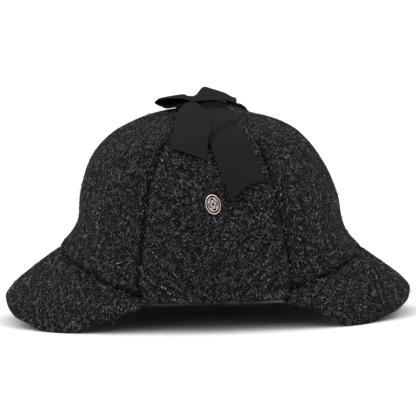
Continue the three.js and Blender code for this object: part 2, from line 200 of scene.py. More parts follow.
# A soft dent in the crown beside the left flap.
DENT_AT = (58.0, -66.0, 54.0)
DENT_DEPTH = 2.0
DENT_REACH = 10
# How dark the shade painted on a free edge is, and how far the inner face's pattern is moved from the
# outer's.
RIM_SHADE = 0.85
INNER_PATTERN_SHIFT = 37.0

# Rows and columns of points in each kind of piece.
PANEL_GRID = (64, 60)
PEAK_GRID = (42, 150)
FLAP_COLUMNS = 72
FLAP_TURN_ROWS = 12
FLAP_BODY_ROWS = 84
FLAP_TIP_ROWS = 26
RIBBON_COLUMNS = 25
BADGE_GRID = (46, 120)

# Ribbon pieces, given by their two selvedges: x, y and z of one, then of the other.
TAIL_FRONT = [
    (-15, -11.5, 166, -10, -11.8, 166.6),
    (-16.8, -15.5, 166, -8.1, -19, 165.5),
    (-20.4, -24, 163.8, -3.4, -31, 163),
    (-24.4, -38.6, 158.6, 0.5, -43.2, 158.4),
    (-26.2, -53.4, 151.1, 2.5, -56.5, 152.3),
    (-27, -63.8, 142.9, 0.2, -68, 146),
    (-27.2, -68.8, 138.8, -1.5, -78.5, 130.6),
]
TAIL_BACK = [
    (-3, -10.5, 166.8, 9.5, -10.5, 166.6),
    (-3, -20.2, 164.7, 12.3, -21.5, 163.9),
    (-3.4, -29.6, 161.4, 18.2, -27.5, 160.6),
    (-3, -42.2, 156.8, 20.3, -38.2, 157.3),
    (-1.5, -54.5, 150.8, 21.1, -46.4, 154.1),
    (1.1, -67.5, 142.1, 26.5, -57.7, 147.5),
    (3.8, -74.8, 135.1, 31.9, -65.5, 140.4),
    (6.5, -79.3, 128.4, 35.6, -71.3, 132.3),
    (11.6, -84.7, 114.9, 39.6, -77, 123),
    (17, -87.6, 100.2, 42.6, -81.5, 114.2),
]
LOOP_FRONT = [
    (-10, -5, 167.2, -9.6, 7, 168.2),
    (-14, -8, 166.9, -15.5, 9, 168.4),
    (-18.9, -10, 168.7, -18.4, 13, 169.1),
    (-25.5, -10.5, 169.2, -24.7, 13.5, 168.5),
    (-32, -10.5, 169, -31.5, 13.5, 167.5),
    (-37.5, -10.3, 168.1, -36, 13.8, 166.6),
    (-40.4, -10, 166.6, -37.8, 14, 165.9),
    (-38.5, -10, 164.6, -36, 14, 165.3),
    (-35.4, -10, 163.2, -33, 14, 165.9),
    (-32, -10, 161.8, -30, 14, 166.4),
    (-25.7, -10, 162.2, -25, 14, 167.4),
    (-19.8, -9.6, 164, -19.5, 13, 168),
    (-12.5, -6.5, 165.2, -12, 8.5, 167.4),
    (-9.8, -4.5, 165.8, -9.4, 7, 167.3),
]
LOOP_BACK = [
    (-9, -6.5, 168.4, -8.7, 5, 169.7),
    (-3.5, -6, 169.8, -3.6, 13, 174.3),
    (2, -5, 170, 2.9, 14, 172.7),
    (7, -5, 169.2, 8, 14.3, 171),
    (11.5, -5.2, 167.8, 13, 14, 169.2),
    (16.5, -6, 165.5, 17.5, 13.5, 166.6),
    (21.6, -6, 163.7, 21.5, 13, 165.1),
    (17, -6, 163.8, 17.5, 12.5, 165.5),
    (9.8, -4.5, 165.6, 9.8, 12, 168.8),
    (2.5, -4.2, 166.4, 2.5, 12, 171),
    (-5.5, -4.2, 167.2, -5.5, 9, 170.6),
    (-11, -4.8, 165.4, -10.5, 7, 168.6),
]
# The wrap round the bow's middle arches up in front and lies lower behind.
KNOT_WRAP = [
    (-11, -9.5, 164.6, -10, 5.5, 164.6),
    (-12.8, -11, 166, -11.5, 6.5, 166.6),
    (-9.5, -13, 166.9, -9, 7.5, 167.6),
    (-5, -14, 167.3, -5, 8.2, 168),
    (0.5, -14.5, 167.5, 0.5, 8.6, 168),
    (6, -14, 167.4, 6, 8.2, 167.4),
    (10, -13, 166.4, 10, 7.5, 166.2),
    (12.2, -12, 165.2, 12, 6.5, 165.2),
    (11, -10.5, 164.5, 10.5, 5.5, 164.4),
]
LEAD = [
    (-10, -17, 164, 11, -17, 163.6),
    (-8, -12, 164.9, 9, -12, 164.6),
    (-6.5, -7.6, 165.7, 7.5, -7.6, 165.6),
]

# Where the back tail is creased, as a share of its length, and how the crease slants across it.
TAIL_LENGTH = 105
CREASE_AT = 0.5
CREASE_SLANT = 0.08
# How softly the shade under the knot ends.
PAINTED_SHADE_EDGE = 1.3

BADGE_LONG = 15.5
BADGE_WIDE = 11.5
BADGE_X = 3.4
BADGE_ROW = 7.85
BADGE_LEAN = math.radians(16)
BADGE_SEAT = 3.96
# From the badge's middle to its edge: share of the way out, height.
BADGE_PROFILE = [
    (0, 1.42),
    (0.3, 1.4),
    (0.62, 1.25),
    (0.7, 1.2),
    (0.75, 0.85),
    (0.81, 0.85),
    (0.85, 1.45),
    (0.92, 1.55),
    (0.97, 1.35),
    (1, 0.75),
]
BADGE_GROOVE = 0.79
ENGRAVED_DEPTH = 0.28
# The rosette's petals run from its heart out by this reach, in shares of the way to the edge.
ROSETTE_HEART = 0.22
ROSETTE_REACH = 0.32

# Broad soft light from above, and weaker soft light from each end of the hat: strength, spread
# in degrees and the way it comes from.
LIGHTS = (
    ("overhead", 2.9, 114, (0.0, -0.14, 1.0)),
    ("front_side", 1.7, 80, (-1.0, -0.4, 0.6)),
    ("back_side", 1.2, 80, (1.0, -0.35, 0.6)),
)
ROOM_LIGHT = 0.06
# A long lens from far off, eight degrees above level, with the horizon tipped a little; in metres.
CAMERA_LIFT = math.radians(8)
CAMERA_TIP = math.radians(1.43)
CAMERA_AWAY = 6.0
CAMERA_AIM = (0.00165, 0, 0.08327)
VIEW_WIDTH = 0.31616
FLOOR_WIDTH = 12.0


# ------------------------------------------------------------------ colours and sizes


def linear(code):
    """An sRGB hex colour as linear red, green, blue and alpha."""
    parts = [int(code[i : i + 2], 16) / 255 for i in (1, 3, 5)]
    return (*(p / 12.92 if p <= 0.04045 else ((p + 0.055) / 1.055) ** 2.4 for p in parts), 1.0)


def length(name, text, default):
    """A size in metres, shown as a length."""
    metres = {"default": default * MM, "subtype": "DISTANCE", "unit": "LENGTH", "precision": 5}
    return bpy.props.FloatProperty(name=name, description=text, **metres)


def colour(name, text, code):
    """A colour whose default is given as sRGB hex."""
    return bpy.props.FloatVectorProperty(
        name=name, description=text, default=linear(code), subtype="COLOR", size=4, min=0, max=1
    )


class HatSizes(bpy.types.PropertyGroup):
    """Sizes that shape the cloth and its finish."""

    seam_depth: length("Seam depth", "How deep the cloth dips at a sewn seam", 1.1)
    seam_reach: length("Seam reach", "How far from a seam the cloth is drawn in", 2.4)
    crown_waver: length("Crown waver", "Soft unevenness of the crown", 0.75)
    column: length("Herringbone column", "Width of one column of the weave", 9.5)
    twill: length("Twill spacing", "Distance between two twill lines; drawn coarse enough to show", 2.8)
    yarn: length("Yarn", "Length of one light fleck of yarn", 1.8)
    ribbon_wall: length("Ribbon thickness", "Thickness of the grosgrain", 0.5)
    rib: length("Grosgrain rib", "Distance between two ribs; drawn coarse enough to show", 1.1)
    fibre: length("Loose fibre", "Length of a loose wool fibre", 3.6)
    fibre_thick: length("Fibre thickness", "Drawn coarse enough to show; a real one is 0.03 mm", 0.12)
    fibre_count: bpy.props.FloatProperty(
        name="Fibres", description="Loose fibres on each square centimetre", default=5.0, min=0
    )


class HatColours(bpy.types.PropertyGroup):
    """Colours of the cloth, the ribbon, the badge and the floor."""

    yarn_dark: colour("Dark yarn", "The near-black yarn of the tweed", "#060607")
    yarn_mid: colour("Middle yarn", "The charcoal yarn of the tweed", "#131315")
    yarn_light: colour("Light fleck", "Pale kemp in the charcoal yarn", "#7f7f82")
    lining: colour("Lining", "The smooth black inside of the crown", "#0a0a0c")
    fibre: colour("Loose fibre", "Pale loose wool", "#a4a4a4")
    ribbon: colour("Ribbon", "Matt black grosgrain", "#222223")
    # Painted shade between the ribs of the ribbon.
    ribbon_groove: colour("Ribbon groove", "Between the ribs of the ribbon", "#141415")
    silver: colour("Silver", "The raised parts of the badge", "#eadbd1")
    oxide: colour("Oxide", "The darkened low parts of the badge", "#0c0a08")
    floor: colour("Floor", "The surface the hat stands on", "#f4f4f4")


def sizes():
    return bpy.context.scene.hat_sizes


def colours():
    return bpy.context.scene.hat_colours


# ------------------------------------------------------------------ curves and surfaces


def read_rows(table, place):
    """The rows of a table read smoothly at places between them."""
    table = np.asarray(table, float)
    place = np.asarray(place, float)
    padded = np.vstack([2 * table[0] - table[1], table, 2 * table[-1] - table[-2]])
    i = np.clip(np.floor(place).astype(int), 0, len(table) - 2)
    t = (place - i)[..., None]
    a, b, c, d = (padded[i + k] for k in range(4))
    bend = -a + 3 * b - 3 * c + d
    slope = 2 * a - 5 * b + 4 * c - d
    return 0.5 * (((bend * t + slope) * t + (c - a)) * t + 2 * b)


def table_at(table, value):
    """The other columns of a table at values of its first column, smoothly."""
    table = np.asarray(table, float)
    key = table[:, 0]
    order = np.argsort(key)
    place = np.interp(value, key[order], np.arange(len(key))[order])
    return read_rows(table[:, 1:], place)


def crown_point(angle, row):
    """The crown's outer face. angle is 0 at the front and a quarter turn at the left side."""
    angle, row = np.broadcast_arrays(np.asarray(angle, float), np.asarray(row, float))
    c, s = np.cos(angle), np.sin(angle)
    down = row / LAST_ROW
    climb = np.maximum(0, (np.abs(c) - LEVEL_SHARE) / (1 - LEVEL_SHARE)) ** CLIMB_POWER
    share = c * c + (climb - c * c) * down * down
    rows = read_rows(CROWN_ROWS, row)
    front = c > 0
    end_out = np.where(front, rows[..., 0], rows[..., 4])
    end_up = np.where(front, rows[..., 1], rows[..., 5])
    side_out, side_up = rows[..., 2], rows[..., 3]
    x = -end_out * c * (1 + SQUARENESS * s * s)
    y = -side_out * s * (1 + SQUARENESS * c * c)
    return np.stack([x, y, side_up + (end_up - side_up) * share], axis=-1)


def unit(v):
    """The same way with a length of one."""
    return v / np.maximum(np.linalg.norm(v, axis=-1, keepdims=True), 1e-9)


def crown_normal(angle, row):
    """The way out of the crown's outer face."""
    step = 0.02
    lower = np.minimum(np.asarray(row, float) + step, LAST_ROW)
    upper = np.maximum(lower - 2 * step, 0.01)
    around = crown_point(angle + step, row) - crown_point(angle - step, row)
    downward = crown_point(angle, lower) - crown_point(angle, upper)
    return unit(np.cross(downward, around))


def off_crown(angle, row, out, below=0):
    """A point this far out from the crown's outer face, and lowered by this much."""
    point = crown_point(angle, row) + crown_normal(angle, row) * np.asarray(out, float)[..., None]
    point[..., 2] -= below
    return point


def angle_at_x(row, x):
    """The angle at which a section of the left side crosses a given x."""
    row, x = np.broadcast_arrays(np.asarray(row, float), np.asarray(x, float))
    low, high = np.zeros(x.shape), np.full(x.shape, math.pi)
    for _ in range(30):
        middle = (low + high) / 2
        before = crown_point(middle, row)[..., 0] < x
        low, high = np.where(before, middle, low), np.where(before, high, middle)
    return (low + high) / 2


def place_above(x, y):
    """The angle and row of the point of the dome above a given x and y."""
    low, high = np.full(x.shape, 0.05), np.full(x.shape, 8.0)
    for _ in range(30):
        row = (low + high) / 2
        rows = read_rows(CROWN_ROWS, row)
        end_out = np.where(x < 0, rows[..., 0], rows[..., 4])
        angle = np.arctan2(-y / rows[..., 2], -x / end_out)
        reach = crown_point(angle, row)
        short = np.hypot(reach[..., 0], reach[..., 1]) < np.hypot(x, y)
        low, high = np.where(short, row, low), np.where(short, high, row)
    return angle, row


def lean(points):
    """Leans the hat back; its feet stay level."""
    points = np.array(points, float)
    points[..., 0] += LEAN_BACK * (points[..., 2] - LEAN_FROM)
    points[..., 2] = np.maximum(points[..., 2], 0)
    return points


def waver(points, reach, seed):
    """Soft unevenness, from about -1 to 1, that changes over about this many millimetres."""
    draw = np.random.default_rng(seed)
    total = np.zeros(points.shape[:-1])
    waves, loudest = 7, 1.4
    for _ in range(waves):
        way = unit(draw.normal(size=3))
        turns = 2 * math.pi / (reach * draw.uniform(0.8, 1.8))
        total += np.sin(points @ way * turns + draw.uniform(0, 2 * math.pi))
    return total / math.sqrt(waves) / loudest


def bump(distance, reach):
    """1 at no distance, falling smoothly to 0 past the reach."""
    return np.exp(-((distance / reach) ** 2))


def ridges(distance, rows):
    """Height at a distance from an edge: rows of a ridge's height, its place and its reach."""
    return sum(height * bump(distance - place, reach) for height, place, reach in rows)


def run_lengths(grid, axis):
    """Distance along one axis of a grid of points, from its first row or column."""
    steps = np.linalg.norm(np.diff(grid, axis=axis), axis=-1)
    pad = [(1, 0), (0, 0)] if axis == 0 else [(0, 0), (1, 0)]
    return np.pad(np.cumsum(steps, axis=axis), pad)


# ------------------------------------------------------------------ meshes


def outline_of(rows, columns):
    """The border of a grid of points as flat indices, once round."""
    top = [(0, c) for c in range(columns - 1)]
    right = [(r, columns - 1) for r in range(rows - 1)]
    bottom = [(rows - 1, c) for c in range(columns - 1, 0, -1)]
    left = [(r, 0) for r in range(rows - 1, 0, -1)]
    return np.array([r * columns + c for r, c in top + right + bottom + left])


def add_object(name, mesh):
    """Puts a mesh in the scene, at the origin."""
    obj = bpy.data.objects.new(name, mesh)
    bpy.context.collection.objects.link(obj)
    return obj


def smooth_mesh(name, points, faces, **values):
    """A smooth mesh in metres of points in millimetres. Each of the values is an attribute's
    domain and numbers, under its name."""
    mesh = bpy.data.meshes.new(name)
    mesh.from_pydata((points * MM).tolist(), [], faces)
    mesh.polygons.foreach_set("use_smooth", [True] * len(faces))
    for label, (domain, numbers) in values.items():
        attribute = mesh.attributes.new(label, "FLOAT", domain)
        attribute.data.foreach_set("value", numbers.astype(np.float32))
    mesh.update()
    return mesh


def cloth_shell(name, outer, inner, uv, pressed=0.0, rounding=1.0, rim_steps=4):
    """A closed wall between two skins of points, with its free edge rounded.

    uv is the place of each point on the flat cloth, in millimetres, and the fifth argument is the shade
    painted on its outer face along a seam, an edge or a fold, 0 to 1; the rounded rim is painted at
    least as dark as RIM_SHADE. The rim swells out of the wall's edge by half the wall times rounding.
    """
    rows, columns = outer.shape[:2]
    count = rows * columns
    border = outline_of(rows, columns)
    inward = np.clip(border // columns, 1, rows - 2) * columns
    inward += np.clip(border % columns, 1, columns - 2)
    flat_outer, flat_inner, flat_uv = outer.reshape(-1, 3), inner.reshape(-1, 3), uv.reshape(-1, 2)
    middle = (flat_outer[border] + flat_inner[border]) / 2
    half = (flat_outer[border] - flat_inner[border]) / 2
    within = (flat_outer[inward] + flat_inner[inward]) / 2
    across = unit(half)
    away = middle - within
    away = unit(away - across * np.sum(away * across, axis=-1, keepdims=True))
    thick = np.linalg.norm(half, axis=-1, keepdims=True)
    uv_away = unit(flat_uv[border] - flat_uv[inward])
    points, places = [flat_outer, flat_inner], [flat_uv, flat_uv + INNER_PATTERN_SHIFT]
    flat_painted_shade = np.broadcast_to(pressed, (rows, columns)).ravel()
    painted_shades = [flat_painted_shade, np.zeros(count)]
    for step in range(1, rim_steps):
        turn = math.pi * step / rim_steps
        points.append(middle + half * math.cos(turn) + away * thick * math.sin(turn) * rounding)
        places.append(flat_uv[border] + uv_away * thick * turn)
        # The rounded rim is painted with shade, at least RIM_SHADE.
        painted_shades.append(np.maximum(flat_painted_shade[border], RIM_SHADE))
    points, places = lean(np.vstack(points)), np.vstack(places)

    r, c = np.mgrid[0 : rows - 1, 0 : columns - 1]
    a = (r * columns + c).ravel()
    quads = [np.stack([a, a + columns, a + columns + 1, a + 1], axis=1)]
    quads.append(count + np.stack([a, a + 1, a + columns + 1, a + columns], axis=1))
    size = len(border)
    loops = [border, *(2 * count + k * size + np.arange(size) for k in range(rim_steps - 1)), border + count]
    for near, far in zip(loops, loops[1:]):
        quads.append(np.stack([near, np.roll(near, -1), np.roll(far, -1), far], axis=1))
    faces = np.vstack(quads)
    corner = points[faces[:, :3]]
    if np.sum(corner[:, 0] * np.cross(corner[:, 1], corner[:, 2])) < 0:
        faces = faces[:, ::-1]
    outside = np.ones(len(faces))
    outside[len(a) : 2 * len(a)] = 0
    values = {"outside": ("FACE", outside), "pressed": ("POINT", np.concatenate(painted_shades))}
    mesh = smooth_mesh(name, points, faces.tolist(), **values)
    layer = mesh.uv_layers.new(name="cloth")
    corners = np.zeros(len(mesh.loops), np.int32)
    mesh.loops.foreach_get("vertex_index", corners)
    layer.data.foreach_set("uv", (places[corners] * MM).ravel())
    return add_object(name, mesh)


def finish_piece(obj, slot, *materials, replaces=(), inner=False, held=None, rests_on=()):
    """Gives a piece its materials, its body and the CAD nodes it stands for, which it hides. Its
    slot, how cloth is held and what it rests on are given but not used."""
    for material in materials:
        obj.data.materials.append(material)
    if inner:
        outside = np.zeros(len(obj.data.polygons), np.float32)
        obj.data.attributes["outside"].data.foreach_get("value", outside)
        obj.data.polygons.foreach_set("material_index", (outside < 0.5).astype(np.int32))
    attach(obj, "root")
    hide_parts(*replaces)


# ------------------------------------------------------------------ materials

UV_MAP, PLACE, VALUE = "ShaderNodeUVMap", "ShaderNodeTexCoord", "ShaderNodeAttribute"
MATH, VECTOR_MATH, RAMP = "ShaderNodeMath", "ShaderNodeVectorMath", "ShaderNodeMapRange"
NOISE, MIX, BUMP = "ShaderNodeTexNoise", "ShaderNodeMix", "ShaderNodeBump"
SPLIT, JOIN, RANDOM = "ShaderNodeSeparateXYZ", "ShaderNodeCombineXYZ", "FunctionNodeRandomValue"
SMOOTH = {"interpolation_type": "SMOOTHSTEP"}
COLOUR = {"data_type": "RGBA"}
PAINTED_SHADE_ATTRIBUTE = {"attribute_name": "pressed", "attribute_type": "GEOMETRY"}


def node(tree, kind, inputs=None, **settings):
    """Adds a node, sets its properties, and sets or links its inputs. A node that is given as an
    input stands for its first output."""
    made = tree.nodes.new(kind)
    for name, value in settings.items():
        setattr(made, name, value)
    for name, value in (inputs or {}).items():
        if isinstance(value, bpy.types.Node):
            value = value.outputs[0]
        if isinstance(value, bpy.types.NodeSocket):
            tree.links.new(value, made.inputs[name])
        else:
            made.inputs[name].default_value = value
    return made


def start_material(name):
    """A new material with no nodes, and what adds a node to it."""
    material = bpy.data.materials.new(name)
    material.use_nodes = True
    material.node_tree.nodes.clear()
    return material, partial(node, material.node_tree)


def close_material(add, inputs):
    """Ends a material in its shader and its output."""
    add("ShaderNodeOutputMaterial", {"Surface": add("ShaderNodeBsdfPrincipled", inputs)})


@cache
def tweed():
    """Herringbone wool tweed, woven in 2/2 twill of near-black and charcoal yarn, milled soft.

    The eye sees broken zigzag columns, pale flecks of kemp, curly hairs and no gloss.
    """
    size, tone = sizes(), colours()
    material, add = start_material("herringbone_wool_tweed")
    drift_reach, drift_by, cloud_reach = 4 * MM, 1.3 * MM, 14 * MM
    kemp_reach, hair_reach, hair_patch = 1.7 * MM, 2.6 * MM, 5 * MM

    # The weave wanders by a fraction of a millimetre, as milled wool does.
    cloth = add(UV_MAP, uv_map="cloth")
    drift = add(NOISE, {"Vector": cloth, "Scale": 1 / drift_reach}).outputs["Color"]
    shift = add(VECTOR_MATH, {0: drift, 1: (0.5, 0.5, 0.5)}, operation="SUBTRACT")
    moved = add(VECTOR_MATH, {0: shift, 1: (drift_by, drift_by, 0), 2: cloth}, operation="MULTIPLY_ADD")
    u, v = add(SPLIT, {0: moved}).outputs[:2]

    # Each column's twill lines slope the other way and stand half a line off the last one's.
    zigzag = add(MATH, {0: u, 1: size.column}, operation="PINGPONG")
    column = add(MATH, {0: add(MATH, {0: u, 1: size.column}, operation="DIVIDE")}, operation="FLOOR")
    side = add(MATH, {0: column, 1: 2.0}, operation="FLOORED_MODULO")
    slope = add(MATH, {0: v, 1: zigzag}, operation="ADD")
    line = add(MATH, {0: slope, 1: size.twill}, operation="DIVIDE")
    phase = add(MATH, {0: side, 1: 0.5, 2: line}, operation="MULTIPLY_ADD")
    turns = add(MATH, {0: phase, 1: 2 * math.pi}, operation="MULTIPLY")
    wave = add(MATH, {0: turns}, operation="SINE")
    twill_line = add(RAMP, {"Value": wave, "From Min": -0.5, "From Max": 0.6}, **SMOOTH)

    # A fleck is a tuft of a few pale fibres, curled and blurred by the milling.
    tuft = {"Vector": moved, "Scale": 1 / size.yarn, "Roughness": 0.6, "Distortion": 1.4}
    fleck = add(RAMP, {"Value": add(NOISE, tuft), "From Min": 0.52, "From Max": 0.78}, **SMOOTH)
    coarse = {"Vector": cloth, "Scale": 1 / kemp_reach, "Detail": 1.0, "Distortion": 0.8}
    kemp = add(RAMP, {"Value": add(NOISE, coarse), "From Min": 0.66, "From Max": 0.78}, **SMOOTH)

    # Hairs follow the middle line of a noise, and lie in patches.
    curly = {"Vector": cloth, "Scale": 1 / hair_reach, "Detail": 1.0, "Distortion": 1.6}
    off_line = add(MATH, {0: add(NOISE, curly), 1: 0.5}, operation="SUBTRACT")
    off_line = add(MATH, {0: off_line}, operation="ABSOLUTE")
    thin = {"Value": off_line, "From Min": 0.004, "From Max": 0.022, "To Min": 1.0, "To Max": 0.0}
    patch = add(NOISE, {"Vector": cloth, "Scale": 1 / hair_patch, "Detail": 1.0})
    patch = add(RAMP, {"Value": patch, "From Min": 0.5, "From Max": 0.62}, **SMOOTH)
    hair = add(MATH, {0: add(RAMP, thin, **SMOOTH), 1: patch}, operation="MULTIPLY")

    cloud = add(NOISE, {"Vector": cloth, "Scale": 1 / cloud_reach})
    cloud = add(MATH, {0: cloud, 1: 0.4}, operation="ADD")
    charcoal = add(MATH, {0: twill_line, 1: cloud}, operation="MULTIPLY")
    base = add(MIX, {"Factor": charcoal, 6: tone.yarn_dark, 7: tone.yarn_mid}, **COLOUR).outputs[2]
    raised = add(MATH, {0: twill_line, 1: 0.6, 2: 0.22}, operation="MULTIPLY_ADD")
    pale = add(MATH, {0: fleck, 1: raised}, operation="MULTIPLY")
    faint = add(MATH, {0: hair, 1: 0.55}, operation="MULTIPLY")
    pale = add(MATH, {0: pale, 1: faint}, operation="MAXIMUM")
    pale = add(MATH, {0: pale, 1: kemp}, operation="MAXIMUM")
    woven = add(MIX, {"Factor": pale, 6: base, 7: tone.yarn_light}, **COLOUR).outputs[2]

    # Shade is painted along seams, turned edges and folds: the colour goes towards black there.
    painted_darkness = add(MATH, {0: add(VALUE, **PAINTED_SHADE_ATTRIBUTE).outputs["Fac"], 1: 0.88}, operation="MULTIPLY")
    shade = add(MIX, {"Factor": painted_darkness, 6: woven, 7: (0, 0, 0, 1)}, **COLOUR).outputs[2]
    low = add(MATH, {0: twill_line, 1: 0.5}, operation="MULTIPLY")
    height = add(MATH, {0: pale, 1: 0.6, 2: low}, operation="MULTIPLY_ADD")
    shader = {
        "Base Color": shade,
        "Roughness": 0.92,
        "Specular IOR Level": 0.025,
        "Sheen Weight": 0.02,
        "Sheen Roughness": 0.6,
        "Sheen Tint": (0.75, 0.75, 0.78, 1),
        "Normal": add(BUMP, {"Height": height, "Distance": 0.35 * MM, "Strength": 0.8}),
    }
    close_material(add, shader)
    return material


@cache
def black_lining():
    """Plain-woven black cotton lining: smooth and dull, so that the inside reads as dark."""
    material, add = start_material("black_cotton_lining")
    thread = 0.8 * MM
    weave = add(NOISE, {"Vector": add(UV_MAP, uv_map="cloth"), "Scale": 1 / thread})
    mixed = add(MIX, {"Factor": weave, 6: (0.002, 0.002, 0.0025, 1), 7: colours().lining}, **COLOUR)
    shader = {
        "Base Color": mixed.outputs[2],
        "Roughness": 0.9,
        "Specular IOR Level": 0.03,
        "Normal": add(BUMP, {"Height": weave, "Distance": 0.1 * MM, "Strength": 0.5}),
    }
    close_material(add, shader)
    return material


@cache
def loose_wool():
    """Stray kemp and wool standing off the milled face: pale grey, matt and fine."""
    material, add = start_material("loose_wool_fibre")
    patch = 6 * MM
    change = add(NOISE, {"Vector": add(PLACE).outputs["Object"], "Scale": 1 / patch, "Detail": 1.0})
    pale = add(RAMP, {"Value": change, "From Min": 0.4, "From Max": 0.65}, **SMOOTH)
    mixed = add(MIX, {"Factor": pale, 6: colours().yarn_mid, 7: colours().fibre}, **COLOUR)
    close_material(add, {"Base Color": mixed.outputs[2], "Roughness": 0.8, "Specular IOR Level": 0.3})
    return material


@cache
def grosgrain():
    """Matt black grosgrain ribbon, woven with fine cross ribs: flat, even and faintly ribbed."""
    size, tone = sizes(), colours()
    material, add = start_material("black_grosgrain_ribbon")
    thread_reach = 1.2 * MM
    cloth = add(UV_MAP, uv_map="cloth")
    along = add(SPLIT, {0: cloth}).outputs["Y"]
    turns = add(MATH, {0: along, 1: 2 * math.pi / size.rib}, operation="MULTIPLY")
    wave = add(MATH, {0: turns}, operation="SINE")
    rib = add(RAMP, {"Value": wave, "From Min": -0.9, "From Max": 0.5}, **SMOOTH)
    thread = add(NOISE, {"Vector": cloth, "Scale": 1 / thread_reach, "Detail": 3.0})
    worn = add(MATH, {0: thread, 1: 0.5, 2: 0.45}, operation="MULTIPLY_ADD")
    raised = add(MATH, {0: rib, 1: worn}, operation="MULTIPLY")
    # Shade is painted in the grooves between the ribs.
    face = add(MIX, {"Factor": raised, 6: tone.ribbon_groove, 7: tone.ribbon}, **COLOUR).outputs[2]
    # Painted shade where the ribbon runs in under the knot.
    pressed = add(VALUE, **PAINTED_SHADE_ATTRIBUTE).outputs["Fac"]
    mixed = add(MIX, {"Factor": pressed, 6: face, 7: (0.001, 0.001, 0.001, 1)}, **COLOUR)
    shader = {
        "Base Color": mixed.outputs[2],
        "Roughness": 0.8,
        "Specular IOR Level": 0.05,
        "Sheen Weight": 0.01,
        "Normal": add(BUMP, {"Height": rib, "Distance": 0.15 * MM, "Strength": 0.5}),
    }
    close_material(add, shader)
    return material


@cache
def antique_silver():
    """Cast silver-plated badge, blackened and rubbed back: bright raised parts, dark low ones."""
    material, add = start_material("antiqued_silver_plate")
    rub = 0.9 * MM
    depth = add(VALUE, attribute_name="low", attribute_type="GEOMETRY").outputs["Fac"]
    wear = add(NOISE, {"Vector": add(PLACE).outputs["Object"], "Scale": 1 / rub, "Detail": 3.0})
    amount = add(MATH, {0: wear, 1: 0.3, 2: -0.15}, operation="MULTIPLY_ADD")
    worn = add(MATH, {0: depth, 1: amount}, operation="ADD")
    black = add(RAMP, {"Value": worn, "From Min": 0.12, "From Max": 0.5}, **SMOOTH)
    mixed = add(MIX, {"Factor": black, 6: colours().silver, 7: colours().oxide}, **COLOUR)
    rough = add(MATH, {0: black, 1: 0.4, 2: 0.34}, operation="MULTIPLY_ADD")
    close_material(add, {"Base Color": mixed.outputs[2], "Metallic": 1.0, "Roughness": rough})
    return material


def studio_floor():
    """Matt white painted board: even and pale."""
    material, add = start_material("matt_white_board")
    grain = add(NOISE, {"Vector": add(PLACE).outputs["Object"], "Scale": 1 / (30 * MM)})
    relief = add(BUMP, {"Height": grain, "Distance": 0.02 * MM, "Strength": 0.1})
    close_material(add, {"Base Color": colours().floor, "Roughness": 0.9, "Normal": relief})
    return material


# ------------------------------------------------------------------ crown


def crown_panel(number, name):
    """One of the crown's six panels, drawn in along its seams and its hem."""
    size = sizes()
    start, end = SEAMS[number], SEAMS[number + 1]
    rows, columns = PANEL_GRID
    down = np.linspace(0, 1, rows)[:, None]
    row = LAST_ROW * (POINT_STOP + down * (1 - POINT_STOP))
    middle = crown_point((start + end) / 2, row)
    past = SEAM_OVERLAP / np.hypot(middle[..., 0], middle[..., 1])
    across = np.linspace(0, 1, columns)[None, :]
    angle = start - past + across * (end - start + 2 * past)
    row = np.broadcast_to(row, angle.shape)
    base, normal = crown_point(angle, row), crown_normal(angle, row)
    run, fall = run_lengths(base, 1), run_lengths(base, 0)
    width = run[:, -1:]
    seam, hem = np.minimum(run, width - run), fall[-1:, :] - fall
    u = run - width / 2
    v = np.broadcast_to(fall[:, columns // 2][:, None], u.shape)

    # The seams' relief fades where the panel is narrow, and the waver where a flap covers it.
    reach, depth = size.seam_reach / MM, size.seam_depth / MM
    narrow = np.clip(width / NARROW_PANEL, 0.1, 1)
    relief = ridges(seam, ((-depth, 0, reach), (0.45, 3.2 * reach, 1.6 * reach))) * narrow
    relief += ridges(hem, HEM_RELIEF)
    covered = 1 - 0.6 * np.abs(np.sin(angle)) ** 6
    relief += size.crown_waver / MM * waver(base, 38, 5) * np.clip(seam / 12, 0, 1) * covered
    relief -= DENT_DEPTH * bump(np.linalg.norm(base - DENT_AT, axis=-1), DENT_REACH)
    outer = base + normal * relief[..., None]
    inner = base - normal * CROWN_WALL
    inner[0] = outer[0] - (0, 0, CROWN_WALL)
    # Shade is painted along the seams, less on narrow panels, and along the hem.
    pressed = np.clip(0.75 * bump(seam, 1.5) * narrow + 0.9 * bump(hem, 1.8), 0, 1)
    # The crown lies in shade along each ear flap's edges.
    flap_edges = table_at(FLAP_ROWS, np.clip(row, FLAP_ROWS[-1][0], LAST_ROW))
    beside_flap = (row > 4.5) * (np.abs(np.sin(angle)) > 0.4)
    for edge, way in ((flap_edges[..., 0], 1), (flap_edges[..., 1], -1)):
        shade = bump(base[..., 0] - edge + way * FLAP_SHADE_AWAY, FLAP_SHADE_REACH) * beside_flap
        pressed = np.maximum(pressed, 0.95 * shade)
    return cloth_shell(name, outer, inner, np.stack([u, v], axis=-1), pressed, rounding=0.0)


# ------------------------------------------------------------------ peaks


def peak_top(peak, across, out):
    """A point of a peak's top face: across runs from one corner to the other, -1 to 1."""
    middle, corner, turn, rim = peak
    rim = np.array(rim, float)
    both = np.vstack([rim[:0:-1] * (1, -1, 1), rim])
    tip = read_rows(both, (across + 1) * (len(rim) - 1))
    seam = crown_point(middle + turn * across * corner, np.full(across.shape, float(LAST_ROW)))
    slope = tip - seam
    level = unit(slope * (1, 1, 0))
    proud = -level * slope[..., 2:]
    proud[..., 2] = np.sum(slope * level, axis=-1)
    first, second = (seam + slope * along + proud * off for along, off in PEAK_SWELL)
    seam = seam + unit(slope) * PEAK_GAP
    t = out[..., None]
    return (1 - t) ** 3 * seam + 3 * (1 - t) ** 2 * t * first + 3 * (1 - t) * t**2 * second + t**3 * tip


